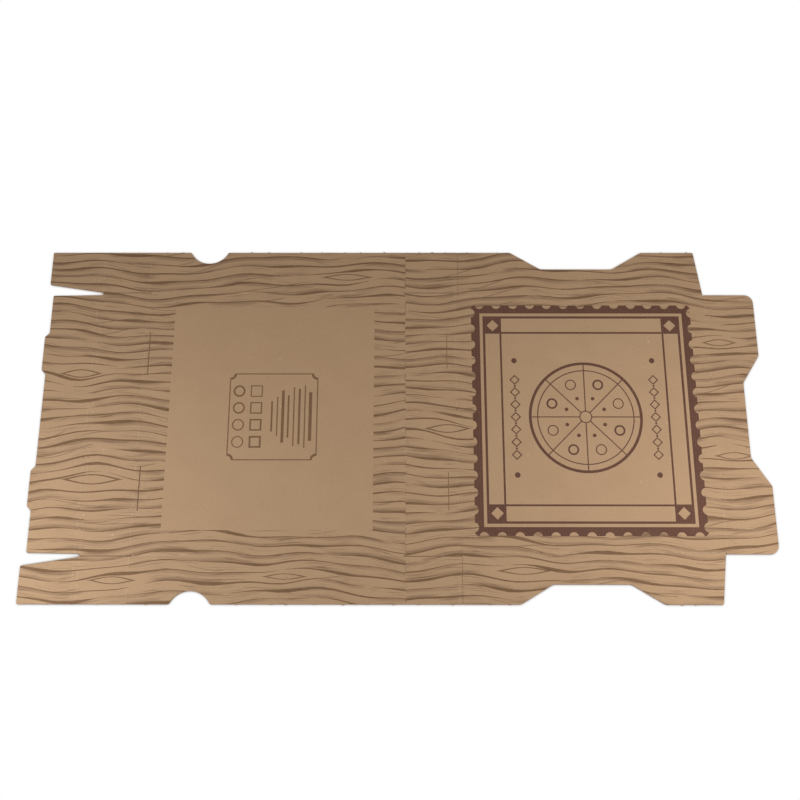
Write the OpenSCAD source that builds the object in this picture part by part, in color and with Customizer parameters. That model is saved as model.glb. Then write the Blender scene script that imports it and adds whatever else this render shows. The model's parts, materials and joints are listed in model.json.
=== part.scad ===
// Pizza box blank: one die-cut sheet of thin corrugated board, lying flat with its printed face up.
// The length runs along X, from the roll-over front at -X to the tuck flap of the lid at +X.
// Every panel folds down, away from the printed face, about the liner that carries the print.

/* [Board] */
// Thickness of the corrugated board
board_t = 1.5; // [1.2:0.1:2.2]
// Thickness of the printed liner, which is left whole at every fold and acts as the hinge
liner_t = 0.3; // [0.2:0.05:0.4]
// Width of a cut made by the die's knives
knife_w = 0.4; // [0.3:0.05:0.8]
// Air left between a folded panel's edge and the panel that it meets
fold_clear = 0.3; // [0.25:0.05:0.6]
// Gap between an ear and the wall beside it, which lets the ear swing past
ear_gap = 0.9; // [0.8:0.05:1.2]

/* [Base] */
// Length of the base, from the front fold to the back fold
base_l = 290; // [260:1:330]
// Width of the base, between the two side folds
base_w = 292; // [260:1:330]

/* [Side walls] */
// Height of a side wall
side_h = 50; // [40:1:60]
// Chord of the round finger notch at the side wall's edge
side_notch_w = 43; // [30:1:48]
// Depth of the finger notch
side_notch_d = 13.5; // [8:0.5:15]
// Distance from the front fold to the middle of the finger notch
side_notch_x = 66.2; // [50:1:110]

/* [Ears] */
// Length of the long ear that is caught in the roll-over front
front_ear_l = 115; // [100:1:125]
// Air on each side of an ear inside the roll-over front
ear_clear = 0.65; // [0.4:0.05:1]
// Distance from the ridge's first fold to the round end of the slot beside the long ear
ear_slot_in = 1.5; // [1:0.1:2.5]
// Radius of the round end of that slot
ear_slot_r = 2; // [1.5:0.1:2.5]
// Height of that slot at the blank's edge
ear_slot_h = 13.2; // [10:0.2:16]

/* [Roll-over front] */
// How far the front wall rises above the side walls
front_rise = 2.1; // [1.6:0.1:3]
// Air between a side wall and the edge of the inner flap, at its fold
inner_side_clear = 0.5; // [0.4:0.1:1]
// Narrowing of the inner flap on each side, from its fold to its free edge
inner_taper = 0.9; // [0:0.1:3]
// Distance of a locking tab's middle from the middle of the box
tab_y = 75.5; // [60:0.5:90]
// Width of a locking tab at its root
tab_w = 47; // [30:1:60]
// Length of a locking tab
tab_l = 4.7; // [3:0.1:5]
// Slope of a locking tab's end corners
tab_chamfer = 4.3; // [2:0.1:4.6]
// Thickness that a locking tab is crushed to
tab_t = 0.9; // [0.6:0.05:1.1]
// Air round a locking tab in its slot
tab_clear = 0.15; // [0.1:0.05:0.3]
// Air at each end of a locking tab's slot
tab_end_clear = 0.5; // [0.3:0.1:1]

/* [Back wall] */
// How far the back wall rises above the side walls
back_rise = 6; // [5:0.1:8]
// Distance from the lid's fold to the slits in the back wall
back_slit_in = 9.9; // [6:0.1:20]
// Length of a slit in the back wall
back_slit_l = 41; // [20:1:60]
// Distance of a slit's middle from the middle of the box
back_slit_y = 78.5; // [60:0.5:90]

/* [Lid] */
// Air between the closed lid's front flap and the inner flap
lid_front_clear = 3; // [1:0.1:5]
// Air on each side between the closed lid's flaps and the side walls
lid_side_clear = 1.5; // [0.5:0.1:3]
// Air between the closed lid's side flaps and the base
lid_side_drop = 1.8; // [1:0.1:5]
// Slope of the free end of a lid side flap
lid_side_slope = 7; // [2:0.5:12]
// Distance from the lid's back fold to the start of the vent notch
vent_x = 63.4; // [50:1:90]
// Width of the vent notch at the flap's edge
vent_w = 149.7; // [110:1:165]
// Slope of each end of the vent notch
vent_slope = 34.2; // [15:0.5:45]
// Depth of the vent notch
vent_d = 20.4; // [10:0.5:28]
// Radius of the corners at the bottom of the vent notch
vent_r = 5; // [2:0.5:10]
// Air between a side wall and the edge of the lid's front flap
tuck_side_clear = 0.5; // [0.4:0.1:1]
// Radius of the corners of the lid's front flap
tuck_r = 9; // [4:0.5:14]
// Depth of the recess in the edge of the lid's front flap
recess_d = 19.8; // [10:0.5:26]
// Width of the bottom of that recess
recess_w = 84; // [60:1:110]
// Slope of each end of that recess
recess_slope = 31; // [15:0.5:40]

/* [Print] */
// Thickness of the ink film
ink_t = 0.1; // [0.05:0.01:0.15]
// Distance between the lines of the wood grain
grain_pitch = 9.8; // [8:0.2:14]
// Width of a line of the wood grain
grain_w = 1.9; // [1:0.1:2.6]
// Length of one stroke of the wood grain
grain_stroke_l = 236; // [120:2:320]
// Air between two strokes on one line
grain_gap = 9; // [4:0.5:20]
// Margin of the plain field on the base, at the front fold
plain_front = 31.4; // [10:0.2:50]
// Margin of the plain field, at the back fold
plain_back = 34.6; // [10:0.2:50]
// Margin of the plain field, at the left fold
plain_left = 16; // [5:0.5:40]
// Margin of the plain field, at the right fold
plain_right = 26; // [5:0.5:40]
// Side of the label's line frame
label_w = 97.3; // [70:0.1:110]
// Margin of the stamp on the lid, at the lid's two ends
stamp_end = 17.6; // [5:0.2:25]
// Margin of the stamp, at the lid's left fold
stamp_left = 11; // [4:0.5:20]
// Margin of the stamp, at the lid's right fold
stamp_right = 17; // [4:0.5:20]
// Width of the stamp's scalloped band
stamp_band = 9.5; // [7:0.5:12]
// Radius of the round bites in the stamp's edge
bite_r = 5.2; // [3:0.1:6]
// Spacing of the bites
bite_pitch = 18.7; // [14:0.1:24]
// Radius of the sliced round in the middle of the stamp
round_r = 62; // [40:1:62]

/* [Hidden] */

kraft = [0.65, 0.53, 0.39];
grain_ink = [0.47, 0.35, 0.25];
stamp_ink = [0.36, 0.23, 0.19];
over = 1;
$fn = 48;
round_fn = 96;
bite_fn = 24;
corner_steps = 8;
vent_steps = 4;

// Fold geometry: a panel that is folded down stands from axis_z inside its fold line to liner_t outside it
axis_z = board_t - liner_t;
edge_drop = axis_z + fold_clear;
ear_offset = axis_z + ear_clear + liner_t;
ridge_w = 2 * axis_z + board_t + 2 * ear_clear;
front_h = side_h + front_rise;
back_h = side_h + back_rise;
lid_l = base_l - ridge_w - 2 * liner_t - lid_front_clear;
lid_side_h = back_h - axis_z - lid_side_drop;
inner_h = front_h - edge_drop;
tuck_h = back_h - edge_drop;

// Places along the blank, measured from the middle of its length
reach_left = max(front_ear_l - ear_offset, front_h + ridge_w + inner_h + tab_l);
reach_right = base_l + back_h + lid_l + tuck_h;
front_x = -(reach_right - reach_left) / 2;
back_x = front_x + base_l;
ridge_x = front_x - front_h;
inner_x = ridge_x - ridge_w;
inner_end_x = inner_x - inner_h;
lid_x = back_x + back_h;
tuck_x = lid_x + lid_l;
tuck_end_x = tuck_x + tuck_h;
front_ear_x = front_x + ear_offset;
back_ear_x = back_x - ear_offset;
front_ear_end_x = front_ear_x - front_ear_l;

// Places across the blank, measured from its middle line
fold_y = base_w / 2;
ear_y = fold_y + edge_drop;
wall_y = ear_y - ear_gap;
edge_y = fold_y + side_h;
inner_y = fold_y - axis_z - inner_side_clear;
lid_y = fold_y - axis_z - lid_side_clear - liner_t;
lid_edge_y = lid_y + lid_side_h;
tuck_y = fold_y - axis_z - tuck_side_clear;
lid_side_start_x = lid_x + ear_offset + axis_z + fold_clear;
lid_side_end_x = tuck_x - axis_z - fold_clear;
shoulder_x = lid_side_start_x - knife_w;
ear_slot_y = inner_y + ear_slot_r;
ear_slot_end_x = ridge_x - ear_slot_in;
back_slit_x = lid_x - back_slit_in;

// Locking tabs and their slots in the base
slot_x = front_x + ridge_w + liner_t - tab_t / 2;
slot_w = tab_t + 2 * tab_clear;
slot_l = tab_w + 2 * tab_end_clear;

// Wood grain, printed by two plates that meet at the back fold
grain_seam_x = back_x;
plate_shift = 0.4;
spare_lines = 2;
grain_step = 12;
grain_taper = 26;
grain_least = 0.3;
golden_share = 0.618;

// Waves in the grain lines: height, length, and turn in degrees from line to line and from plate to plate
WAVES = [[4.6, 434, 8, 140], [3, 171, -15, 60], [1.2, 77, 33, 0]];

// Swelling of the grain lines: least share of the width, then height, length and turn of each swelling
swell_least = 0.45;
SWELL_SLOW = [0.55, 514, 77];
SWELL_SPOT = [1.1, 225, 137];
spot_power = 8;

// Knots in the grain: place along X and Y, half length and half height
KNOTS = [[inner_x - 11, 52, 24, 6], [ridge_x + 6, -66, 34, 7], [front_ear_x - 18, -fold_y - 26, 26, 5],
    [front_x + 164, -fold_y - 22, 24, 4], [back_x - 66, fold_y + 20, 30, 5], [lid_x - 10, -10, 26, 6],
    [lid_x + 68, -fold_y - 16, 30, 5], [tuck_x + 17, -40, 22, 5], [tuck_x + 12, 88, 20, 5]];
knot_reach = 3;
knot_open = 0.8;
knot_line = 0.8;
knot_step = 15;

// Label in the plain field of the base
line_w = 1.1;
plain_l = base_l - plain_front - plain_back;
plain_w = base_w - plain_left - plain_right;
plain_x = front_x + plain_front + plain_l / 2;
plain_y = (plain_right - plain_left) / 2;
label_shift_x = 2;
label_shift_y = -1.5;
label_x = plain_x + label_shift_x;
label_y = plain_y + label_shift_y;
label_corner_r = 5;
label_bar_in = 8;
label_bar_pitch = 6;
label_sign_in = 11;
label_sign_n = 4;
label_sign_pitch_share = 0.195;
label_sign_r_share = 0.067;
label_sign_pitch = label_sign_pitch_share * label_w;
label_sign_r = label_sign_r_share * label_w;
label_sign_step = 0.25;

// Bars of the label: width of each, and its length as a share of the label's side
LABEL_BARS = [[3.4, 0.56], [1.2, 0.72], [2.2, 0.64], [1.2, 0.68], [1.8, 0.49], [3, 0.6], [1.2, 0.45],
    [1.8, 0.35]];

// Stamp on the lid: a scalloped band, a ruled frame with corner lozenges, a sliced round between two chains
stamp_l = lid_l - 2 * stamp_end;
stamp_w = 2 * lid_y - stamp_left - stamp_right;
stamp_x = lid_x + lid_l / 2;
stamp_y = (stamp_right - stamp_left) / 2;
stamp_gap = 3.5;
stamp_line = 2.5;
stamp_rule = 2;
stamp_corner = 17;
stamp_corner_cut = 4;
stamp_lozenge = 9.5;
stamp_in_l = stamp_l - 2 * (stamp_band + stamp_gap);
stamp_in_w = stamp_w - 2 * (stamp_band + stamp_gap);
rule_x = stamp_in_l / 2 - stamp_line - stamp_corner;
rule_y = stamp_in_w / 2 - stamp_line - stamp_corner;
bite_out = 1;
chain_x = (rule_x + round_r) / 2;
chain_n = 3;
chain_pitch = 14;
chain_side = 8;
dot_gap = 22;
dot_y = chain_n * chain_pitch + dot_gap;
dot_r = 3;
slice_n = 8;
slice_turn = 360 / slice_n;
round_line = 3;
round_crust = 9;
round_hub = 7;
topping_r = 6;
topping_line = 0.8;
topping_far = 0.74;
topping_near = 0.42;
crumb_r = 2;

// Cutters and helpers

module crease_across(x, y) {
    translate([x, y, 0])
        rotate([90, 0, 0])
            linear_extrude(2 * y)
                polygon([[-axis_z - over, -over], [axis_z + over, -over], [0, axis_z]]);
}

module crease_along(y, x_low, x_high) {
    translate([x_low, y, 0])
        rotate([90, 0, 90])
            linear_extrude(x_high - x_low)
                polygon([[-axis_z - over, -over], [axis_z + over, -over], [0, axis_z]]);
}

module strip(x_low, x_high, y) {
    translate([x_low, -y])
        square([x_high - x_low, 2 * y]);
}

module both_sides() {
    children();
    mirror([0, 1, 0])
        children();
}

module board() {
    color(kraft)
        linear_extrude(board_t)
            children();
}

function arc(x, y, r, from, to, steps) = [
    for (i = [0:steps])
        let (a = from + (to - from) * i / steps)
            [x + r * cos(a), y + r * sin(a)]
];

// Wood grain

function bell(u) = exp(-u * u);
function side_of(d) = d < 0 ? -1 : 1;
function total(values) = values * [for (value = values) 1];
function wave(x, n, p, w) = w[0] * sin(360 * x / w[1] + w[2] * n + w[3] * p);
function plain_y_of(x, n, p) =
    (n + plate_shift * p) * grain_pitch + total([for (w = WAVES) wave(x, n, p, w)]);
function push(x, k, d) = side_of(d) * k[3] * bell((x - k[0]) / k[2]) * exp(-abs(d) / (knot_reach * k[3]));
function grain_y(x, n, p) =
    plain_y_of(x, n, p) + total([for (k = KNOTS) push(x, k, plain_y_of(k[0], n, p) - k[1])]);
function lens(k, share) = [
    for (a = [0:knot_step:360 - knot_step])
        [k[0] + share * k[2] * cos(a), k[1] + share * knot_open * k[3] * pow(sin(a), 3)]
];
function swell_at(x, n, s) = sin(360 * x / s[1] + s[2] * n);
function swell(x, n) =
    swell_least
    + SWELL_SLOW[0] * pow(swell_at(x, n, SWELL_SLOW), 2)
    + SWELL_SPOT[0] * pow(max(0, swell_at(x, n, SWELL_SPOT)), spot_power);
function stroke_w(x, n, from, to) =
    max(grain_least, grain_w * swell(x, n) * min(1, (x - from) / grain_taper, (to - x) / grain_taper));
function stroke_start(n, m) = (m + golden_share * n - floor(golden_share * n)) * grain_stroke_l;

module stroke(n, p, from, to, x_low, x_high) {
    a = max(from, x_low);
    b = min(to, x_high);
    steps = ceil((b - a) / grain_step);
    xs = [for (i = [0:steps]) a + (b - a) * i / steps];
    top = [for (x = xs) [x, grain_y(x, n, p) + stroke_w(x, n, from, to) / 2]];
    bottom = [for (i = [steps:-1:0]) [xs[i], grain_y(xs[i], n, p) - stroke_w(xs[i], n, from, to) / 2]];
    polygon(concat(top, bottom));
}

module knots() {
    for (k = KNOTS)
        difference() {
            polygon(lens(k, 1));
            polygon(lens(k, knot_line));
        }
}

module grain_plate(p, x_low, x_high, y_low, y_high) {
    first = floor(y_low / grain_pitch) - spare_lines;
    last = ceil(y_high / grain_pitch) + spare_lines;
    first_m = floor(x_low / grain_stroke_l) - 1;
    last_m = ceil(x_high / grain_stroke_l);
    for (n = [first:last], m = [first_m:last_m]) {
        from = stroke_start(n, m);
        to = from + grain_stroke_l - grain_gap;
        if (to > x_low + grain_gap && from < x_high - grain_gap)
            stroke(n, p, from, to, x_low, x_high);
    }
}

module grain(x_low, x_high, y_low, y_high) {
    if (x_low < grain_seam_x)
        grain_plate(0, x_low, min(x_high, grain_seam_x), y_low, y_high);
    if (x_high > grain_seam_x)
        grain_plate(1, max(x_low, grain_seam_x), x_high, y_low, y_high);
    knots();
}

module grain_film(x_low, x_high, y_low, y_high) {
    color(grain_ink)
        translate([0, 0, board_t])
            linear_extrude(ink_t)
                intersection() {
                    grain(x_low, x_high, y_low, y_high);
                    children();
                }
}

// Base

module tab_slots() {
    both_sides()
        translate([slot_x - slot_w / 2, tab_y - slot_l / 2])
            square([slot_w, slot_l]);
}

module base_shape() {
    difference() {
        strip(front_x, back_x, fold_y);
        tab_slots();
    }
}

module base() {
    difference() {
        board()
            base_shape();
        crease_across(front_x, fold_y + over);
        crease_across(back_x, fold_y + over);
        both_sides()
            crease_along(fold_y, front_x - over, back_x + over);
    }
}

module plain_field() {
    translate([plain_x - plain_l / 2, plain_y - plain_w / 2])
        square([plain_l, plain_w]);
}

module base_grain() {
    grain_film(front_x, back_x, -fold_y, fold_y)
        difference() {
            base_shape();
            plain_field();
        }
}

module label_outline(inset) {
    side = label_w - 2 * inset;
    difference() {
        square(side, center = true);
        for (sx = [-1, 1], sy = [-1, 1])
            translate([sx * side / 2, sy * side / 2])
                circle(label_corner_r + inset);
    }
}

module label_bars() {
    for (i = [0:len(LABEL_BARS) - 1])
        translate([label_w / 2 - label_bar_in - i * label_bar_pitch, 0])
            square([LABEL_BARS[i][0], LABEL_BARS[i][1] * label_w], center = true);
}

module label_signs() {
    for (i = [0:label_sign_n - 1]) {
        y = (i - (label_sign_n - 1) / 2) * label_sign_pitch;
        translate([-label_w / 2 + label_sign_in, y])
            difference() {
                circle(label_sign_r);
                circle(label_sign_r - line_w - label_sign_step * i);
            }
        translate([-label_w / 2 + label_sign_in + label_sign_pitch, y])
            difference() {
                square(2 * label_sign_r, center = true);
                square(2 * (label_sign_r - line_w - label_sign_step * (label_sign_n - 1 - i)), center = true);
            }
    }
}

module base_label() {
    color(grain_ink)
        translate([label_x, label_y, board_t])
            linear_extrude(ink_t) {
                difference() {
                    label_outline(0);
                    label_outline(line_w);
                }
                label_bars();
                label_signs();
            }
}

// Roll-over front

module ear_slot() {
    both_sides() {
        translate([ear_slot_end_x, ear_slot_y])
            circle(ear_slot_r);
        polygon([
            [ear_slot_end_x, ear_slot_y - ear_slot_r],
            [ear_slot_end_x, ear_slot_y + ear_slot_r],
            [front_ear_end_x - over, ear_slot_y - ear_slot_r + ear_slot_h],
            [front_ear_end_x - over, ear_slot_y - ear_slot_r]
        ]);
    }
}

module front_wall_shape() {
    difference() {
        strip(ridge_x, front_x, wall_y);
        ear_slot();
    }
}

module front_wall() {
    difference() {
        board()
            front_wall_shape();
        crease_across(front_x, wall_y + over);
        crease_across(ridge_x, wall_y + over);
    }
}

module front_wall_grain() {
    grain_film(ridge_x, front_x, -wall_y, wall_y)
        front_wall_shape();
}

module front_ridge_shape() {
    difference() {
        strip(inner_x, ridge_x, wall_y);
        ear_slot();
    }
}

module front_ridge() {
    difference() {
        board()
            front_ridge_shape();
        crease_across(ridge_x, wall_y + over);
        crease_across(inner_x, wall_y + over);
    }
}

module front_ridge_grain() {
    grain_film(inner_x, ridge_x, -wall_y, wall_y)
        front_ridge_shape();
}

function tab_outline(side) = [
    for (corner = [
        [0, tab_w / 2],
        [tab_l, tab_w / 2 - tab_chamfer],
        [tab_l, tab_chamfer - tab_w / 2],
        [0, -tab_w / 2]
    ])
        [inner_end_x - corner[0], side * tab_y + corner[1]]
];

module inner_flap_shape() {
    polygon(concat(
        [[inner_x, inner_y], [inner_end_x, inner_y - inner_taper]],
        tab_outline(1),
        tab_outline(-1),
        [[inner_end_x, inner_taper - inner_y], [inner_x, -inner_y]]
    ));
}

module front_inner_flap() {
    difference() {
        board()
            inner_flap_shape();
        crease_across(inner_x, inner_y + over);
        both_sides()
            translate([inner_end_x - tab_l - over, tab_y - tab_w / 2 - over, -over])
                cube([tab_l + over, tab_w + 2 * over, board_t - tab_t + over]);
    }
}

module front_inner_flap_grain() {
    grain_film(inner_end_x - tab_l, inner_x, -inner_y, inner_y)
        inner_flap_shape();
}

// Back wall

module back_wall_shape() {
    difference() {
        strip(back_x, lid_x, wall_y);
        both_sides()
            translate([back_slit_x - knife_w, back_slit_y - back_slit_l / 2])
                square([2 * knife_w, back_slit_l]);
    }
}

module back_wall() {
    difference() {
        board()
            back_wall_shape();
        crease_across(back_x, wall_y + over);
        crease_across(lid_x, wall_y + over);
    }
}

module back_wall_grain() {
    grain_film(back_x, lid_x, -wall_y, wall_y)
        back_wall_shape();
}

// Side walls and ears, drawn on the +Y side

module side_wall_shape() {
    notch_r = (pow(side_notch_w / 2, 2) + pow(side_notch_d, 2)) / (2 * side_notch_d);
    difference() {
        translate([front_ear_x, fold_y])
            square([back_ear_x - front_ear_x, side_h]);
        translate([front_x + side_notch_x, edge_y - side_notch_d + notch_r])
            circle(notch_r, $fn = round_fn);
    }
}

module side_wall() {
    difference() {
        board()
            side_wall_shape();
        crease_along(fold_y, front_x - over, back_x + over);
        crease_across(front_ear_x, edge_y + over);
        crease_across(back_ear_x, edge_y + over);
    }
}

module front_ear_shape() {
    difference() {
        translate([front_ear_end_x, ear_y])
            square([front_ear_l, edge_y - ear_y]);
        ear_slot();
    }
}

module front_ear() {
    difference() {
        board()
            front_ear_shape();
        crease_across(front_ear_x, edge_y + over);
    }
}

module back_ear_shape() {
    translate([back_ear_x, ear_y])
        square([shoulder_x - back_ear_x, edge_y - ear_y]);
}

module back_ear() {
    difference() {
        board()
            back_ear_shape();
        crease_across(back_ear_x, edge_y + over);
    }
}

module side_wall_left() {
    side_wall();
}

module side_wall_right() {
    mirror([0, 1, 0])
        side_wall();
}

module front_ear_left() {
    front_ear();
}

module front_ear_right() {
    mirror([0, 1, 0])
        front_ear();
}

module back_ear_left() {
    back_ear();
}

module back_ear_right() {
    mirror([0, 1, 0])
        back_ear();
}

module side_wall_left_grain() {
    grain_film(front_ear_x, back_ear_x, fold_y, edge_y)
        side_wall_shape();
}

module side_wall_right_grain() {
    grain_film(front_ear_x, back_ear_x, -edge_y, -fold_y)
        mirror([0, 1])
            side_wall_shape();
}

module front_ear_left_grain() {
    grain_film(front_ear_end_x, front_ear_x, ear_y, edge_y)
        front_ear_shape();
}

module front_ear_right_grain() {
    grain_film(front_ear_end_x, front_ear_x, -edge_y, -ear_y)
        mirror([0, 1])
            front_ear_shape();
}

module back_ear_left_grain() {
    grain_film(back_ear_x, shoulder_x, ear_y, edge_y)
        back_ear_shape();
}

module back_ear_right_grain() {
    grain_film(back_ear_x, shoulder_x, -edge_y, -ear_y)
        mirror([0, 1])
            back_ear_shape();
}

// Lid

module lid_shape() {
    strip(lid_x, tuck_x, lid_y);
    strip(lid_x, shoulder_x, wall_y);
}

module lid() {
    difference() {
        board()
            lid_shape();
        crease_across(lid_x, wall_y + over);
        crease_across(tuck_x, lid_y + over);
        both_sides()
            crease_along(lid_y, shoulder_x, tuck_x + over);
    }
}

module lid_grain() {
    grain_film(lid_x, tuck_x, -wall_y, wall_y)
        difference() {
            lid_shape();
            translate([stamp_x, stamp_y])
                square([stamp_l, stamp_w], center = true);
        }
}

module vent_notch() {
    slope = atan(vent_d / vent_slope);
    tangent = vent_r * tan(slope / 2);
    left_x = lid_x + vent_x;
    right_x = left_x + vent_w;
    corner_y = lid_edge_y - vent_d + vent_r;
    polygon(concat(
        [
            [right_x, lid_edge_y],
            [right_x, lid_edge_y + over],
            [left_x, lid_edge_y + over],
            [left_x, lid_edge_y]
        ],
        arc(left_x + vent_slope + tangent, corner_y, vent_r, 270 - slope, 270, vent_steps),
        arc(right_x - vent_slope - tangent, corner_y, vent_r, 270, 270 + slope, vent_steps)
    ));
}

module lid_side_flap_shape() {
    difference() {
        polygon([
            [lid_side_start_x, lid_y],
            [lid_side_end_x, lid_y],
            [lid_side_end_x - lid_side_slope, lid_edge_y],
            [lid_side_start_x, lid_edge_y]
        ]);
        vent_notch();
    }
}

module lid_side_flap() {
    difference() {
        board()
            lid_side_flap_shape();
        crease_along(lid_y, lid_side_start_x - over, tuck_x + over);
    }
}

module lid_side_flap_left() {
    lid_side_flap();
}

module lid_side_flap_right() {
    mirror([0, 1, 0])
        lid_side_flap();
}

module lid_side_flap_left_grain() {
    grain_film(lid_side_start_x, lid_side_end_x, lid_y, lid_edge_y)
        lid_side_flap_shape();
}

module lid_side_flap_right_grain() {
    grain_film(lid_side_start_x, lid_side_end_x, -lid_edge_y, -lid_y)
        mirror([0, 1])
            lid_side_flap_shape();
}

module lid_front_flap_shape() {
    recess_y = recess_w / 2;
    polygon(concat(
        [[tuck_x, -tuck_y]],
        arc(tuck_end_x - tuck_r, -tuck_y + tuck_r, tuck_r, 270, 360, corner_steps),
        [
            [tuck_end_x, -recess_y - recess_slope],
            [tuck_end_x - recess_d, -recess_y],
            [tuck_end_x - recess_d, recess_y],
            [tuck_end_x, recess_y + recess_slope]
        ],
        arc(tuck_end_x - tuck_r, tuck_y - tuck_r, tuck_r, 0, 90, corner_steps),
        [[tuck_x, tuck_y]]
    ));
}

module lid_front_flap() {
    difference() {
        board()
            lid_front_flap_shape();
        crease_across(tuck_x, tuck_y + over);
    }
}

module lid_front_flap_grain() {
    grain_film(tuck_x, tuck_end_x, -tuck_y, tuck_y)
        lid_front_flap_shape();
}

// Stamp on the lid

module frame(l, w, line) {
    difference() {
        square([l, w], center = true);
        square([l - 2 * line, w - 2 * line], center = true);
    }
}

module bites(l, w) {
    count = round(l / bite_pitch);
    for (i = [0:count - 1], side = [-1, 1])
        translate([((i + 0.5) / count - 0.5) * l, side * (w / 2 + bite_out)])
            circle(bite_r, $fn = bite_fn);
}

module scalloped_band() {
    difference() {
        frame(stamp_l, stamp_w, stamp_band);
        bites(stamp_l, stamp_w);
        rotate(90)
            bites(stamp_w, stamp_l);
        for (sx = [-1, 1], sy = [-1, 1])
            translate([sx * stamp_l / 2, sy * stamp_w / 2])
                rotate(45)
                    square(stamp_corner_cut, center = true);
    }
}

module stamp_lines() {
    corner = stamp_line + stamp_corner / 2;
    frame(stamp_in_l, stamp_in_w, stamp_line);
    for (sx = [-1, 1], sy = [-1, 1])
        translate([sx * (stamp_in_l / 2 - corner), sy * (stamp_in_w / 2 - corner)])
            difference() {
                square(stamp_corner + stamp_rule, center = true);
                rotate(45)
                    square(stamp_lozenge, center = true);
            }
    for (side = [-1, 1]) {
        translate([0, side * rule_y])
            square([stamp_in_l - 2 * stamp_line, stamp_rule], center = true);
        translate([side * rule_x, 0])
            square([stamp_rule, stamp_in_w - 2 * stamp_line], center = true);
    }
}

module chain() {
    for (i = [-chain_n:chain_n]) {
        translate([0, i * chain_pitch])
            rotate(45)
                frame(chain_side, chain_side, line_w);
        if (i < chain_n)
            translate([0, (i + 0.5) * chain_pitch])
                circle(line_w);
    }
    both_sides()
        translate([0, dot_y])
            circle(dot_r);
}

module ring(r, line) {
    difference() {
        circle(r, $fn = round_fn);
        circle(r - line, $fn = round_fn);
    }
}

module sliced_round() {
    crust_r = round_r - round_crust;
    ring(round_r, round_line);
    difference() {
        union() {
            ring(crust_r, line_w);
            for (i = [0:slice_n / 2 - 1])
                rotate(i * slice_turn)
                    square([2 * round_r - round_line, line_w], center = true);
        }
        circle(round_hub);
    }
    for (i = [0:slice_n - 1])
        rotate((i + 0.5) * slice_turn) {
            translate([topping_far * crust_r, 0])
                ring(topping_r, line_w + topping_line * (i % 2));
            translate([topping_near * crust_r, 0])
                circle(crumb_r);
        }
    ring(round_hub, line_w);
}

module lid_stamp() {
    color(stamp_ink)
        translate([stamp_x, stamp_y, board_t])
            linear_extrude(ink_t) {
                scalloped_band();
                stamp_lines();
                for (side = [-1, 1])
                    translate([side * chain_x, 0])
                        chain();
                sliced_round();
            }
}

base();
front_wall();
front_ridge();
front_inner_flap();
back_wall();
lid();
lid_front_flap();
side_wall_left();
side_wall_right();
front_ear_left();
front_ear_right();
back_ear_left();
back_ear_right();
lid_side_flap_left();
lid_side_flap_right();
base_grain();
base_label();
front_wall_grain();
front_ridge_grain();
front_inner_flap_grain();
back_wall_grain();
lid_grain();
lid_stamp();
lid_front_flap_grain();
side_wall_left_grain();
side_wall_right_grain();
front_ear_left_grain();
front_ear_right_grain();
back_ear_left_grain();
back_ear_right_grain();
lid_side_flap_left_grain();
lid_side_flap_right_grain();
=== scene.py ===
import json
import math
import random

import bmesh
import bpy
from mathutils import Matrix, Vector

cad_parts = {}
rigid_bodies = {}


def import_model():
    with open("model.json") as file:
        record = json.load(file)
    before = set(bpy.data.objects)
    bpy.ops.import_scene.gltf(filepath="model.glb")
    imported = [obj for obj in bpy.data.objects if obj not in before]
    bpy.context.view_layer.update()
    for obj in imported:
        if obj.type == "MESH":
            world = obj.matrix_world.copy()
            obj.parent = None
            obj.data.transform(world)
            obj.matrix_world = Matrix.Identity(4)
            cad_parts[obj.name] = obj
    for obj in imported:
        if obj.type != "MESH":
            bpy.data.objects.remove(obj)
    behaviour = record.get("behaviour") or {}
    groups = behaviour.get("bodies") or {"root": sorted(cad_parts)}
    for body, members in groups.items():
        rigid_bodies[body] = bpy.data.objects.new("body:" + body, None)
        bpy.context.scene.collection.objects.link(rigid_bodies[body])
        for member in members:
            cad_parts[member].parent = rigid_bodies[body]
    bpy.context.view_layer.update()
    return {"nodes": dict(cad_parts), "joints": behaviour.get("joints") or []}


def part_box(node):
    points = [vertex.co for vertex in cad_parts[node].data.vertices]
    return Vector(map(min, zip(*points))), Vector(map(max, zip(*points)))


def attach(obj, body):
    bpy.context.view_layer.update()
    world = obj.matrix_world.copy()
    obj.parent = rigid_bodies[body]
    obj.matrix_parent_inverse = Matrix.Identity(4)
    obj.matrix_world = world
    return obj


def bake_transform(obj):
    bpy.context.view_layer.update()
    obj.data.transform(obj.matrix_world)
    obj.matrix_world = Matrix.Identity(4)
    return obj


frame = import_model()

MM = 0.001

# Places of the blank in millimetres, as in the source of the solids
BOARD_T = 1.5
PRINT_Z = BOARD_T - 0.01
FRONT_X = -284.425
RIDGE_X = -336.525
INNER_X = -341.725
BACK_X = 5.575
LID_X = 61.575
TUCK_X = 342.775
FOLD_Y = 146.0
LID_FOLD_Y = 143.0
PLAIN_FIELD = (-253.025, -29.025, -120.0, 130.0)
STAMP_FIELD = (79.175, 325.175, -126.0, 132.0)
STAMP_BAND = 7.0

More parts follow.
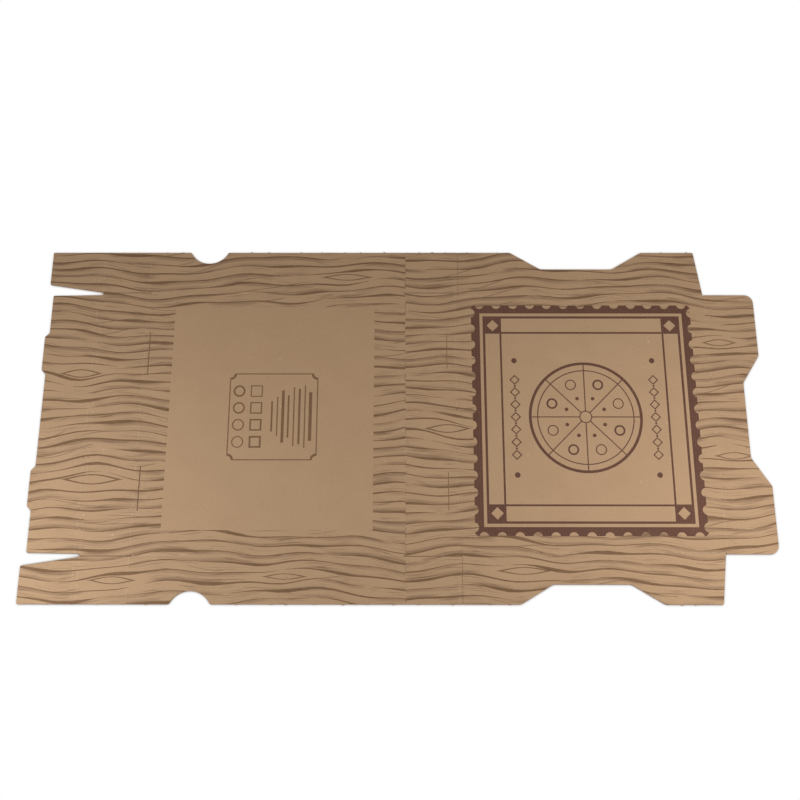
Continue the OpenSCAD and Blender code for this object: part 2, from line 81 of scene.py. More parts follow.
# Wood grain: line pitch, line width, waves (height, length, turn per line, turn per plate) and knots
GRAIN_PITCH = 9.8
GRAIN_W = 1.9
PLATE_SHIFT = 0.4
WAVES = ((4.6, 434, 8, 140), (3, 171, -15, 60), (1.2, 77, 33, 0))
FLOW_STEPS = 3
SWELL_LEAST = 0.45
SWELL_SLOW = (0.55, 514, 77)
SWELL_SPOT = (1.1, 225, 137)
SPOT_POWER = 8
KNOTS = (
    (INNER_X - 11, 52, 24, 6),
    (RIDGE_X + 6, -66, 34, 7),
    (FRONT_X + 2.15 - 18, -FOLD_Y - 26, 26, 5),
    (FRONT_X + 164, -FOLD_Y - 22, 24, 4),
    (BACK_X - 66, FOLD_Y + 20, 30, 5),
    (LID_X - 10, -10, 26, 6),
    (LID_X + 68, -FOLD_Y - 16, 30, 5),
    (TUCK_X + 17, -40, 22, 5),
    (TUCK_X + 12, 88, 20, 5),
)
KNOT_CALM_L = 1.3
KNOT_CALM_W = 2.6
KNOT_CALM = (2.2, 0.9)

# Noise: three levels of detail, and a layer of its own for each pattern of the print
DETAIL_LOW = 1
DETAIL_MID = 2
DETAIL_HIGH = 3
STREAK_LAYER = 0
STRAY_LAYER = 1
SEAM_LAYER = 2
WASH_LAYER = 4
FINE_LAYER = 9

# Dry streaks: length, rows per grain line, and where they break up the dry side of a line
STREAK_L = 34
STREAK_ROWS = 9
STREAK_BREAK = 0.9
DRY_SIDE = (0.75, 1.45)

# Soft wash beside a line: length, lot per line, fades from full to none, and which side it lies on
WASH_L = 70
WASH_LOT = 3.7
WASH_SHOWN = (0.58, 0.38)
WASH_SPREAD = (-0.3, 4.2)
WASH_SIDE = (0.5, -0.3)
WASH_STREAKED = 1.3
WASH_LEAST = 0.05
SIDE_L = 46
SIDE_TURN = 2.4

# Fine streaks between the lines, in patches
FINE_SHOWN = (0.62, 0.55)
FINE_L = 50
FINE_ROWS = 1.1
FINE_PATCH = (0.55, 0.42)
FINE_STRENGTH = 0.5

# Stray thin lines: waves (height, length, turn per line), half width, and where they show
STRAY_WAVES = ((0.62, 41, 0.45), (0.12, 17, 0.3))
STRAY_SHIFT = 0.5
STRAY_LINE = (0.015, 0.065)
STRAY_L = 64
STRAY_LOT = 5.3
STRAY_SHOWN = (0.56, 0.5)
STRAY_STREAKED = 0.8
STRAY_LEAST = 0.35

# Grain lines that run on into the bites of the stamp, and the smudge over the back crease
BITE_EDGE = (0.25, 0)
BITE_STRENGTH = 0.95
SEAM_LINE = (0.2, 1.6)
SEAM_L = 9
SEAM_W = 5
SEAM_SHOWN = (0.62, 0.46)
SEAM_STRENGTH = 0.5

# Kraft liner: sizes of its clouds and fibres, their weights in tone and height, and its specks
CLOUD_SIZE = (38, 26, 30)
FIBRE_SIZE = (2.6, 0.5, 0.8)
CROSS_SIZE = (0.45, 3.4, 0.8)
FLUTE_PITCH = 3.2
CLOUD_TONE = 0.22
FIBRE_TONE = 0.5
CROSS_TONE = 0.38
FLUTE_TONE = 0.022
TONE_DROP = 0.05
FIBRE_RISE = 0.5
CROSS_RISE = 0.35
FLUTE_RISE = 0.22
FIBRE_ROUGH = 0.12
ROUGH_LEAST = 0.78
DARK_SPECKS = ((15, 13, 40), 0.35, 0.055)
PALE_SPECKS = ((17, 19, 40), 0.3, 0.06)
SPECK_SOFT = 0.5
DARK_STRENGTH = 0.65
PALE_STRENGTH = 0.5

# Cut edge: how upright a face is, the wave of the fluting, its paper, and the room between the liners, where
# the gaps of the fluting get painted shade
UPRIGHT = 0.3
FLUTE_SWING = 0.36
FLUTE_PAPER = (0.2, 0.1)
FLUTE_ROOM = (0.44, 0.5)

# Crease marks on the print: half width, breaks, paleness and depth
CREASE_LINE = (0.2, 0.9)
CREASE_BREAK_SIZE = (4, 4, 4)
CREASE_BREAKS = (0.62, 0.4)
CREASE_PALE = 0.16
CREASE_DEPTH = 0.5

# Inks: cover of the grain ink, of a grain line on a fold, and of the stamp with its dry pinholes
GRAIN_PATCH_SIZE = (9, 1.2, 1)
GRAIN_PATCH = 0.45
GRAIN_COVER = 0.66
FOLD_LINE = (0.2, 0)
FOLD_COVER = 0.85
STAMP_PATCH_SIZE = (24, 18, 1)
STAMP_PATCH = 0.1
STAMP_FLUTES = 0.02
STAMP_COVER = 0.91
PINHOLE_SIZE = (1.1, 0.8, 1)
PINHOLES = (0.76, 0.62)
PINHOLE_DRY = 0.4

# Gloss, and the strength and depth in metres of the bumps
SPECULAR = 0.25
BUMP_STRENGTH = 0.5
BOARD_BUMP = 0.00012
GRAIN_BUMP = 0.00008
STAMP_BUMP = 0.00006

# Colours of the board and its two inks, as they are seen in plain light, and the painted shade in the gaps
# of the fluting
KRAFT_DARK = (0.285, 0.171, 0.087, 1)
KRAFT_LIGHT = (0.470, 0.303, 0.177, 1)
KRAFT_PALE = (0.600, 0.470, 0.330, 1)
SPECK_DARK = (0.120, 0.075, 0.045, 1)
# Painted shade: the dark colour given to the gaps between the flutes at a cut edge
HOLLOW_SHADE = (0.085, 0.052, 0.030, 1)
GRAIN_INK = (0.135, 0.069, 0.031, 1)
GRAIN_WASH = (0.180, 0.102, 0.056, 1)
STAMP_INK = (0.088, 0.035, 0.022, 1)
WHITE = (1, 1, 1, 1)

# Liner strips across the creases, in metres: width, thickness, top, short of the ends, and bends
FOLD_W = 1.2 * MM
FOLD_T = 0.2 * MM
FOLD_TOP = 1.51 * MM
FOLD_END = 0.3 * MM
FOLD_NEAR = 0.05 * MM
FOLD_CUTS = 12
FOLD_TURN = 0.3

# Nicks left by the cutting die: pitch, bare end, ranges of the tufts, and each panel's reach and spans
NICK_PITCH = 27
NICK_END = 4
NICK_FIRST = (0.3, 1)
NICK_STEP = (0.5, 1.6)
NICK_ROUGH = (0.75, 1.2)
NICK_SIZE = ((0.8, 1.3), (0.9, 1.5), (0.35, 0.5))
NICK_Z = (0.65, 0.85)
NICK_SEED = 7
EDGE_Y = 196
NICKED_EDGES = (
    ("front_ear", 0.6, ((-388, -284),)),
    ("side_wall", 1, ((-280, -243), (-194, 2))),
    ("back_ear", 1, ((6, 63),)),
    ("lid_side_flap", 1, ((68, 123), (277, 332))),
)

# Floor, in metres: half its side and its height, and the shade that gathers against the sheet
FLOOR_HALF = 3.0
FLOOR_Z = -0.0004
SHADE_REACH = 0.004
SHADE_SAMPLES = 16
SHADE_FADE = (0.42, 0.97)
CONTACT_SHADE = (0.19, 0.11, 0.06, 1)

# Light: the even dome, brighter from below, and two lamps with their place, power and tint
DOME = 0.38
DOME_BELOW = 0.7
HORIZON = (-0.1, 0.1)
LAMP_SIZE = 0.3
LAMP_TARGET = (0, 0, 0)
LAMPS = (
    ("right_lamp", (0.476, -0.184, 0.397), 2.47, (0.95, 0.97, 1)),
    ("left_lamp", (-0.506, -0.217, 0.322), 2.07, (0.91, 0.95, 1)),
)

# Camera: lens and film width in millimetres, place in metres and turn in degrees
CAMERA_LENS = 39.07
CAMERA_FILM = 36.0
CAMERA_PLACE = (0.0017, -0.2153, 0.9229)
CAMERA_TURN = (14.44, 0.112, 0.06)

# Sockets of the Mix node that carry its two colours and the mixed one
COLOUR_A = 6
COLOUR_B = 7
COLOUR_MIXED = 2


class Field:
    """A number that varies over the surface, so that a pattern is written as a formula."""

    def __init__(self, tree, socket):
        self.tree = tree
        self.socket = socket

    def apply(self, operation, *others):
        node = self.tree.nodes.new("ShaderNodeMath")
        node.operation = operation
        for socket, value in zip(node.inputs, (self, *others)):
            feed(self.tree, socket, value)
        return Field(self.tree, node.outputs[0])

    def __add__(self, other):
        return self.apply("ADD", other)

    def __sub__(self, other):
        return self.apply("SUBTRACT", other)

    def __mul__(self, other):
        return self.apply("MULTIPLY", other)

    def __truediv__(self, other):
        return self.apply("DIVIDE", other)

    def size(self):
        return self.apply("ABSOLUTE")

    def sine(self):
        return self.apply("SINE")

    def above(self, limit):
        return self.apply("GREATER_THAN", limit)

    def below(self, limit):
        return self.apply("LESS_THAN", limit)

    def power(self, exponent):
        return self.apply("POWER", exponent)

    def rounded(self):
        return self.apply("ROUND")

    def larger(self, other):
        return self.apply("MAXIMUM", other)

    def flipped(self):
        return self * -1 + 1

    def fade(self, full, none):
        """1 at full, 0 at none, and a smooth step between them."""
        node = self.tree.nodes.new("ShaderNodeMapRange")
        node.interpolation_type = "SMOOTHSTEP"
        for name, value in (("Value", self), ("From Min", none), ("From Max", full)):
            feed(self.tree, node.inputs[name], value)
        return Field(self.tree, node.outputs["Result"])


def feed(tree, socket, value):
    """Links a field to a socket, or sets the socket to a plain value."""
    if isinstance(value, Field):
        tree.links.new(value.socket, socket)
    else:
        socket.default_value = value


def start_group(name, inputs, outputs):
    """A shader node group, its inputs as fields, and the node that takes its results."""
    tree = bpy.data.node_groups.new(name, "ShaderNodeTree")
    for label, kind in inputs:
        tree.interface.new_socket(name=label, in_out="INPUT", socket_type=kind)
    for label, kind in outputs:
        tree.interface.new_socket(name=label, in_out="OUTPUT", socket_type=kind)
    source = tree.nodes.new("NodeGroupInput")
    result = tree.nodes.new("NodeGroupOutput")
    fields = [Field(tree, source.outputs[label]) for label, _ in inputs]
    return tree, fields, result


def place_group(tree, group, *values):
    """Puts a group in a tree and gives back its outputs by name."""
    node = tree.nodes.new("ShaderNodeGroup")
    node.node_tree = group
    for socket, value in zip(node.inputs, values):
        feed(tree, socket, value)
    return {socket.name: Field(tree, socket) for socket in node.outputs}


def split(tree, vector):
    """The three numbers of a vector."""
    node = tree.nodes.new("ShaderNodeSeparateXYZ")
    feed(tree, node.inputs[0], vector)
    return [Field(tree, socket) for socket in node.outputs]


def joined(tree, x, y, z):
    """A vector from three numbers."""
    node = tree.nodes.new("ShaderNodeCombineXYZ")
    for socket, value in zip(node.inputs, (x, y, z)):
        feed(tree, socket, value)
    return Field(tree, node.outputs[0])


def counted(tree, vector, sizes):
    """A vector counted in units of a size of its own each way."""
    node = tree.nodes.new("ShaderNodeVectorMath")
    node.operation = "MULTIPLY"
    feed(tree, node.inputs[0], vector)
    node.inputs[1].default_value = [1 / size for size in sizes]
    return Field(tree, node.outputs[0])


def clouds(tree, vector, detail):
    """Soft noise from 0 to 1, one bump per unit."""
    node = tree.nodes.new("ShaderNodeTexNoise")
    node.inputs["Scale"].default_value = 1.0
    node.inputs["Detail"].default_value = detail
    feed(tree, node.inputs["Vector"], vector)
    return Field(tree, node.outputs["Fac"])


def specks(tree, place, sizes, share, radius):
    """Small round marks in a share of the cells of a grid."""
    node = tree.nodes.new("ShaderNodeTexVoronoi")
    node.inputs["Scale"].default_value = 1.0
    feed(tree, node.inputs["Vector"], counted(tree, place, sizes))
    lot = split(tree, Field(tree, node.outputs["Color"]))[0]
    mark = Field(tree, node.outputs["Distance"]).fade(radius * SPECK_SOFT, radius)
    return mark * lot.below(share)


def tinted(tree, factor, first, second):
    """A colour that goes from the first to the second with the factor."""
    node = tree.nodes.new("ShaderNodeMix")
    node.data_type = "RGBA"
    feed(tree, node.inputs["Factor"], factor)
    for socket, value in ((COLOUR_A, first), (COLOUR_B, second)):
        feed(tree, node.inputs[socket], value)
    return Field(tree, node.outputs[COLOUR_MIXED])


def inside(x, y, field):
    """1 inside a rectangle of the print, 0 outside."""
    x_low, x_high, y_low, y_high = field
    return x.above(x_low) * x.below(x_high) * y.above(y_low) * y.below(y_high)


def fluting(x):
    """The wave of the fluting, from -1 to 1."""
    return (x * (math.tau / FLUTE_PITCH)).sine()


def make_wave_group():
    """How far the waves push a grain line at x."""
    inputs = (("X", "NodeSocketFloat"), ("Line", "NodeSocketFloat"), ("Plate", "NodeSocketFloat"))
    tree, (x, line, plate), result = start_group("grain_waves", inputs, (("Push", "NodeSocketFloat"),))
    push = None
    for height, length, line_turn, plate_turn in WAVES:
        angle = x * (math.tau / length) + line * math.radians(line_turn) + plate * math.radians(plate_turn)
        part = angle.sine() * height
        push = part if push is None else push + part
    feed(tree, result.inputs["Push"], push)
    return tree


def make_flow_group(wave_group):
    """The grain as a flow: count, nearest line, way off it, half its width, and calm round knots."""
    outputs = [(name, "NodeSocketFloat") for name in ("Flow", "Line", "Offset", "Half", "Calm")]
    tree, (place,), result = start_group("grain_flow", (("Place", "NodeSocketVector"),), outputs)
    x, y, _ = split(tree, place)
    plate = x.above(BACK_X)
    straight = y / GRAIN_PITCH - plate * PLATE_SHIFT
    flow = straight
    for _ in range(FLOW_STEPS):
        flow = straight - place_group(tree, wave_group, x, flow, plate)["Push"] / GRAIN_PITCH
    line = flow.rounded()
    slow_w, slow_l, slow_turn = SWELL_SLOW
    spot_w, spot_l, spot_turn = SWELL_SPOT
    slow = (x * (math.tau / slow_l) + line * math.radians(slow_turn)).sine()
    spot = (x * (math.tau / spot_l) + line * math.radians(spot_turn)).sine()
    swell = slow * slow * slow_w + spot.larger(0).power(SPOT_POWER) * spot_w + SWELL_LEAST
    calm = None
    for knot_x, knot_y, half_l, half_w in KNOTS:
        across = (x - knot_x) / (half_l * KNOT_CALM_L)
        along = (y - knot_y) / (half_w * KNOT_CALM_W)
        near = (across * across + along * along).fade(*KNOT_CALM)
        calm = near if calm is None else calm * near
    values = (flow, line, (flow - line) * GRAIN_PITCH, swell * (GRAIN_W / 2), calm)
    for (name, _), value in zip(outputs, values):
        feed(tree, result.inputs[name], value)
    return tree


def make_liner_group():
    """Bare kraft liner: clouds, fibres both ways, faint flutes, and dark and pale specks."""
    outputs = (("Color", "NodeSocketColor"), ("Height", "NodeSocketFloat"), ("Roughness", "NodeSocketFloat"))
    tree, (place,), result = start_group("kraft_liner", (("Place", "NodeSocketVector"),), outputs)
    cloud = clouds(tree, counted(tree, place, CLOUD_SIZE), DETAIL_HIGH)
    fibre = clouds(tree, counted(tree, place, FIBRE_SIZE), DETAIL_HIGH)
    cross = clouds(tree, counted(tree, place, CROSS_SIZE), DETAIL_MID)
    flute = fluting(split(tree, place)[0])
    tone = cloud * CLOUD_TONE + fibre * FIBRE_TONE + cross * CROSS_TONE + flute * FLUTE_TONE - TONE_DROP
    colour = tinted(tree, tone, KRAFT_DARK, KRAFT_LIGHT)
    colour = tinted(tree, specks(tree, place, *DARK_SPECKS) * DARK_STRENGTH, colour, SPECK_DARK)
    colour = tinted(tree, specks(tree, place, *PALE_SPECKS) * PALE_STRENGTH, colour, KRAFT_PALE)
    feed(tree, result.inputs["Color"], colour)
    feed(tree, result.inputs["Height"], fibre * FIBRE_RISE + cross * CROSS_RISE + flute * FLUTE_RISE)
    feed(tree, result.inputs["Roughness"], fibre * FIBRE_ROUGH + ROUGH_LEAST)
    return tree


def soft_wash(tree, x, flow, streak, side):
    """The wash that spreads from one side of a grain line."""
    beyond = flow["Offset"].size() - flow["Half"]
    soft = beyond.fade(*WASH_SPREAD) * (flow["Offset"] * side).fade(*WASH_SIDE)
    lot = clouds(tree, joined(tree, x / WASH_L, flow["Line"] * WASH_LOT, WASH_LAYER), DETAIL_LOW)
    return soft * lot.fade(*WASH_SHOWN) * (streak * WASH_STREAKED + WASH_LEAST)


def fine_streaks(tree, x, flow, streak):
    """Dry streaks between the lines, in patches."""
    patches = clouds(tree, joined(tree, x / FINE_L, flow["Flow"] * FINE_ROWS, FINE_LAYER), DETAIL_LOW)
    return streak.fade(*FINE_SHOWN) * patches.fade(*FINE_PATCH) * FINE_STRENGTH


def stray_lines(tree, x, flow, streak):
    """Thin lines that roam between the main ones and come and go."""
    stray = flow["Flow"] + STRAY_SHIFT
    for height, length, turn in STRAY_WAVES:
        stray = stray + (x / length + flow["Flow"] * turn).sine() * height
    line = stray.rounded()
    thin = (stray - line).size().fade(*STRAY_LINE)
    lot = clouds(tree, joined(tree, x / STRAY_L, line * STRAY_LOT, STRAY_LAYER), DETAIL_LOW)
    return thin * lot.fade(*STRAY_SHOWN) * (streak * STRAY_STREAKED + STRAY_LEAST)


def make_wash_group(flow_group):
    """What the print adds beside the grain lines, and how far the lines themselves are covered."""
    outputs = (("Wash", "NodeSocketFloat"), ("Cover", "NodeSocketFloat"))
    tree, (place,), result = start_group("grain_wash", (("Place", "NodeSocketVector"),), outputs)
    x, y, _ = split(tree, place)
    flow = place_group(tree, flow_group, place)
    streak = clouds(tree, joined(tree, x / STREAK_L, flow["Flow"] * STREAK_ROWS, STREAK_LAYER), DETAIL_HIGH)
    side = (x / SIDE_L + flow["Line"] * SIDE_TURN).sine()
    wash = soft_wash(tree, x, flow, streak, side) + fine_streaks(tree, x, flow, streak)
    wash = wash.larger(stray_lines(tree, x, flow, streak))
    bites = (flow["Half"] - flow["Offset"].size()).fade(*BITE_EDGE) * inside(x, y, STAMP_FIELD)
    wash = wash.larger(bites * BITE_STRENGTH)
    x_low, x_high, y_low, y_high = STAMP_FIELD
    under_band = (x_low + STAMP_BAND, x_high - STAMP_BAND, y_low + STAMP_BAND, y_high - STAMP_BAND)
    printed = inside(x, y, PLAIN_FIELD).flipped() * inside(x, y, under_band).flipped()
    smudge = clouds(tree, joined(tree, x / SEAM_L, y / SEAM_W, SEAM_LAYER), DETAIL_MID)
    seam = (x - BACK_X).size().fade(*SEAM_LINE) * smudge.fade(*SEAM_SHOWN)
    total = (wash * flow["Calm"]).larger(seam * SEAM_STRENGTH) * printed
    lean = flow["Offset"] / flow["Half"] * side
    cover = (lean + streak * STREAK_BREAK).fade(*DRY_SIDE)
    feed(tree, result.inputs["Wash"], total)
    feed(tree, result.inputs["Cover"], (cover - 1) * flow["Calm"] + 1)
    return tree


def make_flute_shade_group():
    """Painted shade where a cut edge shows the gaps of the fluting between its two liners."""
    inputs = (("Place", "NodeSocketVector"), ("Facing", "NodeSocketVector"))
    tree, (place, facing), result = start_group("flute_gap_shade", inputs, (("Hollow Shade", "NodeSocketFloat"),))
    x, _, z = split(tree, place)
    upright = split(tree, facing)[2].size().below(UPRIGHT)
    wave = fluting(x) * FLUTE_SWING + BOARD_T / 2
    between = (z - BOARD_T / 2).size().fade(*FLUTE_ROOM)
    # Painted shade: dark where the paper of the fluting leaves a gap between the liners
    feed(tree, result.inputs["Hollow Shade"], (z - wave).size().fade(*FLUTE_PAPER) * between * upright)
    return tree


def make_crease_group():
    """Faint pale lines where the creases press on the printed liner."""
    outputs = (("Line", "NodeSocketFloat"),)
    tree, (place,), result = start_group("crease_lines", (("Place", "NodeSocketVector"),), outputs)
    x, y, z = split(tree, place)
    line = None
    for fold_x in (FRONT_X, RIDGE_X, INNER_X, BACK_X, LID_X, TUCK_X):
        mark = (x - fold_x).size().fade(*CREASE_LINE)
        line = mark if line is None else line.larger(mark)
    for fold_y, x_low, x_high in ((FOLD_Y, FRONT_X, BACK_X), (LID_FOLD_Y, LID_X, TUCK_X)):
        mark = (y.size() - fold_y).size().fade(*CREASE_LINE) * x.above(x_low) * x.below(x_high)
        line = line.larger(mark)
    broken = clouds(tree, counted(tree, place, CREASE_BREAK_SIZE), DETAIL_MID).fade(*CREASE_BREAKS)
    feed(tree, result.inputs["Line"], line * broken * z.above(PRINT_Z))
    return tree


def start_material(name):
    """A material with its shader, and the place in millimetres and the facing as fields."""
    material = bpy.data.materials.new(name)
    material.use_nodes = True
    tree = material.node_tree
    shader = tree.nodes["Principled BSDF"]
    shader.inputs["Specular IOR Level"].default_value = SPECULAR
    coordinates = tree.nodes.new("ShaderNodeTexCoord")
    place = counted(tree, Field(tree, coordinates.outputs["Object"]), (MM, MM, MM))
    return material, tree, shader, place, Field(tree, coordinates.outputs["Normal"])


def finish_material(tree, shader, colour, height, roughness, depth):
    """Joins colour, roughness and bump to the shader."""
    feed(tree, shader.inputs["Base Color"], colour)
    feed(tree, shader.inputs["Roughness"], roughness)
    bump = tree.nodes.new("ShaderNodeBump")
    bump.inputs["Strength"].default_value = BUMP_STRENGTH
    bump.inputs["Distance"].default_value = depth
    feed(tree, bump.inputs["Height"], height)
    tree.links.new(bump.outputs["Normal"], shader.inputs["Normal"])


def make_kraft_board(groups):
    """Corrugated board: printed liner above, bare liner below, painted shade in the gaps of the fluting at
    the cut edges.
    """
    material, tree, shader, place, facing = start_material("kraft_board")
    liner = place_group(tree, groups["liner"], place)
    wash = place_group(tree, groups["wash"], place)
    hollow_shade = place_group(tree, groups["edge"], place, facing)["Hollow Shade"]
    crease = place_group(tree, groups["crease"], place)["Line"]
    top = split(tree, place)[2].above(PRINT_Z)
    colour = tinted(tree, wash["Wash"] * top, liner["Color"], GRAIN_WASH)
    colour = tinted(tree, crease * CREASE_PALE, colour, KRAFT_PALE)
    # Painted shade darkens the gaps of the fluting at the cut edges
    colour = tinted(tree, hollow_shade, colour, HOLLOW_SHADE)
    height = liner["Height"] - crease * CREASE_DEPTH
    finish_material(tree, shader, colour, height, liner["Roughness"], BOARD_BUMP)
    return material


def make_folded_liner(groups):
    """The printed liner where it runs over a fold: the grain goes on across it, and no fluting shows."""
    material, tree, shader, place, _ = start_material("folded_liner")
    liner = place_group(tree, groups["liner"], place)
    wash = place_group(tree, groups["wash"], place)
    flow = place_group(tree, groups["flow"], place)
    crease = place_group(tree, groups["crease"], place)["Line"]
    line = (flow["Half"] - flow["Offset"].size()).fade(*FOLD_LINE) * flow["Calm"]
    colour = tinted(tree, wash["Wash"], liner["Color"], GRAIN_WASH)
    colour = tinted(tree, line * FOLD_COVER, colour, GRAIN_INK)
    colour = tinted(tree, crease * CREASE_PALE, colour, KRAFT_PALE)
    height = liner["Height"] - crease * CREASE_DEPTH
    finish_material(tree, shader, colour, height, liner["Roughness"], BOARD_BUMP)
    return material


def make_grain_ink(groups):
    """Thin brown ink of the wood grain, full on one side of a line and dry on the other."""
    material, tree, shader, place, _ = start_material("grain_ink")
    liner = place_group(tree, groups["liner"], place)
    wash = place_group(tree, groups["wash"], place)
    patch = clouds(tree, counted(tree, place, GRAIN_PATCH_SIZE), DETAIL_HIGH)
    x, y, _ = split(tree, place)
    cover = wash["Cover"].larger(inside(x, y, PLAIN_FIELD)) * (patch * GRAIN_PATCH + GRAIN_COVER)
    colour = tinted(tree, cover, liner["Color"], GRAIN_INK)
    finish_material(tree, shader, colour, liner["Height"], liner["Roughness"], GRAIN_BUMP)
    return material


def make_stamp_ink(groups):
    """Full, flat maroon ink of the stamp, with dry pinholes and faint bands over the flutes."""
    material, tree, shader, place, _ = start_material("stamp_ink")
    liner = place_group(tree, groups["liner"], place)
    patch = clouds(tree, counted(tree, place, STAMP_PATCH_SIZE), DETAIL_MID)
    dry = clouds(tree, counted(tree, place, PINHOLE_SIZE), DETAIL_MID).fade(*PINHOLES)
    band = fluting(split(tree, place)[0]) * STAMP_FLUTES
    cover = patch * STAMP_PATCH + band + STAMP_COVER - dry * PINHOLE_DRY
    colour = tinted(tree, cover, liner["Color"], STAMP_INK)
    finish_material(tree, shader, colour, liner["Height"], liner["Roughness"], STAMP_BUMP)
    return material


def dress_panels(board, grain, stamp):
    """Gives each solid of the frame its finish."""
    for name, node in frame["nodes"].items():
        finish = board
        if name.endswith("_grain") or name == "base_label":
            finish = grain
        if name == "lid_stamp":
            finish = stamp
        node.data.materials.clear()
        node.data.materials.append(finish)


def edge_at_fold(node, joint, along):
    """How far a panel's edge reaches along its crease, lowest and highest."""
    centre = Vector(joint["pos_m"])
    spots = [vertex.co - centre for vertex in frame["nodes"][node].data.vertices]
    across = 1 - along
    reach = [spot[along] for spot in spots if abs(spot[across]) < FOLD_NEAR]
    return min(reach), max(reach)


def make_fold_liner(joint, finish):
    """The strip of printed liner that runs on across a crease."""
    parent, child = joint["parent"], joint["child"]
    along = 0 if abs(joint["axis"][0]) > 0.5 else 1
    reach = [edge_at_fold(node, joint, along) for node in (parent, child)]
    low = max(edge[0] for edge in reach) + FOLD_END
    high = min(edge[1] for edge in reach) - FOLD_END
    size = [FOLD_W, FOLD_W, FOLD_T]
    size[along] = high - low
    middle = Vector(joint["pos_m"])
    middle[along] += (low + high) / 2
    middle.z = FOLD_TOP - FOLD_T / 2
    shape = bmesh.new()
    bmesh.ops.create_cube(shape, size=1.0)
    bmesh.ops.scale(shape, verts=shape.verts, vec=size)
    side = Vector((0, 0, 0))
    side[1 - along] = 1
    for i in range(1, FOLD_CUTS):
        cut = side * (FOLD_W * (i / FOLD_CUTS - 0.5))
        whole = shape.verts[:] + shape.edges[:] + shape.faces[:]
        bmesh.ops.bisect_plane(shape, geom=whole, plane_co=cut, plane_no=side)
    bmesh.ops.translate(shape, verts=shape.verts, vec=middle)
    strip = show_piece(joint["name"] + "_liner", shape, finish)
    child_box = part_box(child)
    turn = 1 if (child_box[0] + child_box[1])[1 - along] / 2 > middle[1 - along] else -1
    bend = side * (FOLD_W * FOLD_TURN * turn)
    middle - bend
    middle + bend
    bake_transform(strip)


def show_piece(name, shape, finish):
    """Makes an object of a finished shape, with its material and slot."""
    mesh = bpy.data.meshes.new(name)
    shape.to_mesh(mesh)
    shape.free()
    mesh.materials.append(finish)
    piece = bpy.data.objects.new(name, mesh)
    bpy.context.scene.collection.objects.link(piece)
    return piece


def make_nicks(panel, edge_y, reach, spans, finish, luck):
    """Tufts of torn fibre where the cutting die left nicks along a panel's outer edge."""
    shape = bmesh.new()
    for x_low, x_high in spans:
        x = x_low + luck.uniform(*NICK_FIRST) * NICK_PITCH
        while x < x_high - NICK_END:
            tuft = bmesh.ops.create_icosphere(shape, subdivisions=1, radius=MM)["verts"]
            for vertex in tuft:
                vertex.co *= luck.uniform(*NICK_ROUGH)
            size = [luck.uniform(*span) for span in NICK_SIZE]
            size[1] *= reach
            bmesh.ops.scale(shape, verts=tuft, vec=size)
            place = (x * MM, edge_y * MM, luck.uniform(*NICK_Z) * MM)
            bmesh.ops.translate(shape, verts=tuft, vec=place)
            x += luck.uniform(*NICK_STEP) * NICK_PITCH
    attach(show_piece(panel + "_nicks", shape, finish), panel)


def make_floor():
    """A floor that is clear to the camera, apart from the shade where the sheet lies on it."""
    mesh = bpy.data.meshes.new("floor")
    shape = bmesh.new()
    bmesh.ops.create_grid(shape, x_segments=1, y_segments=1, size=FLOOR_HALF)
    bmesh.ops.translate(shape, verts=shape.verts, vec=(0, 0, FLOOR_Z))
    shape.to_mesh(mesh)
    shape.free()
    floor = bpy.data.objects.new("floor", mesh)
    bpy.context.scene.collection.objects.link(floor)
    material = bpy.data.materials.new("pale_floor")
    material.use_nodes = True
    tree = material.node_tree
    tree.nodes.clear()
    contact = tree.nodes.new("ShaderNodeAmbientOcclusion")
    contact.samples = SHADE_SAMPLES
    contact.inputs["Distance"].default_value = SHADE_REACH
    path = tree.nodes.new("ShaderNodeLightPath")
    seen = Field(tree, path.outputs["Is Camera Ray"])
    shade = Field(tree, contact.outputs["AO"]).fade(*SHADE_FADE) * seen
    clear = tree.nodes.new("ShaderNodeBsdfTransparent")
    feed(tree, clear.inputs["Color"], tinted(tree, shade, WHITE, CONTACT_SHADE))
    output = tree.nodes.new("ShaderNodeOutputMaterial")
    tree.links.new(clear.outputs["BSDF"], output.inputs["Surface"])
    mesh.materials.append(material)


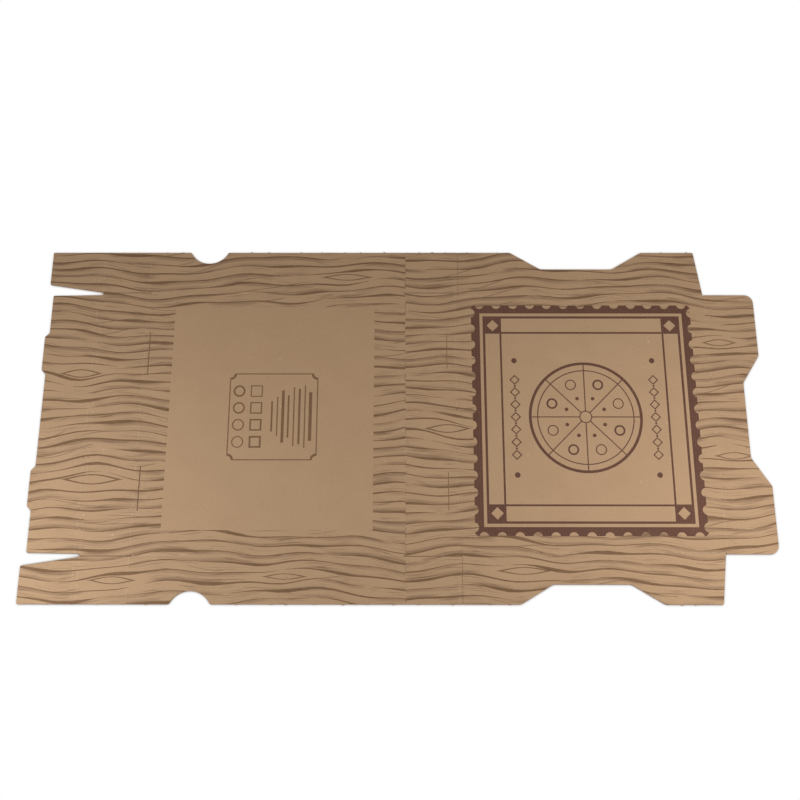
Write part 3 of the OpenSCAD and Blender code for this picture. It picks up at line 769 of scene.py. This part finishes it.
def make_world():
    """White where the camera and mirrors look, and a soft even dome for the light."""
    world = bpy.data.worlds.new("studio")
    bpy.context.scene.world = world
    world.use_nodes = True
    tree = world.node_tree
    tree.nodes.clear()
    path = tree.nodes.new("ShaderNodeLightPath")
    seen = Field(tree, path.outputs["Is Camera Ray"])
    for ray in ("Is Glossy Ray", "Is Transmission Ray"):
        seen = seen.larger(Field(tree, path.outputs[ray]))
    sky = tree.nodes.new("ShaderNodeBackground")
    sky.inputs["Color"].default_value = WHITE
    coordinates = tree.nodes.new("ShaderNodeTexCoord")
    height = split(tree, Field(tree, coordinates.outputs["Generated"]))[2]
    dome = height.fade(*HORIZON) * (DOME_BELOW - DOME) + DOME
    feed(tree, sky.inputs["Strength"], dome.larger(seen))
    output = tree.nodes.new("ShaderNodeOutputWorld")
    tree.links.new(sky.outputs["Background"], output.inputs["Surface"])


def make_lamp(name, place, power, tint):
    """A soft square lamp that faces the middle of the sheet."""
    data = bpy.data.lights.new(name, "AREA")
    data.shape = "SQUARE"
    data.size = LAMP_SIZE
    data.energy = power
    data.color = tint
    lamp = bpy.data.objects.new(name, data)
    lamp.location = place
    lamp.rotation_mode = "QUATERNION"
    lamp.rotation_quaternion = (Vector(LAMP_TARGET) - Vector(place)).to_track_quat("-Z", "Y")
    lamp.visible_camera = False
    bpy.context.scene.collection.objects.link(lamp)


def make_camera():
    """The camera at the photograph's place, above the edge nearest to it."""
    data = bpy.data.cameras.new("camera")
    data.lens = CAMERA_LENS
    data.sensor_width = CAMERA_FILM
    camera = bpy.data.objects.new("camera", data)
    camera.location = CAMERA_PLACE
    camera.rotation_euler = [math.radians(angle) for angle in CAMERA_TURN]
    bpy.context.scene.collection.objects.link(camera)
    bpy.context.scene.camera = camera


flow_group = make_flow_group(make_wave_group())
groups = {
    "flow": flow_group,
    "liner": make_liner_group(),
    "wash": make_wash_group(flow_group),
    "edge": make_flute_shade_group(),
    "crease": make_crease_group(),
}
kraft_board = make_kraft_board(groups)
dress_panels(kraft_board, make_grain_ink(groups), make_stamp_ink(groups))
folded_liner = make_folded_liner(groups)
for joint in frame["joints"]:
    make_fold_liner(joint, folded_liner)
luck = random.Random(NICK_SEED)
for panel, reach, spans in NICKED_EDGES:
    make_nicks(panel + "_left", EDGE_Y, reach, spans, kraft_board, luck)
    make_nicks(panel + "_right", -EDGE_Y, reach, spans, kraft_board, luck)
make_floor()
make_world()
for lamp in LAMPS:
    make_lamp(*lamp)
make_camera()
bpy.context.scene.view_settings.view_transform = "Standard"
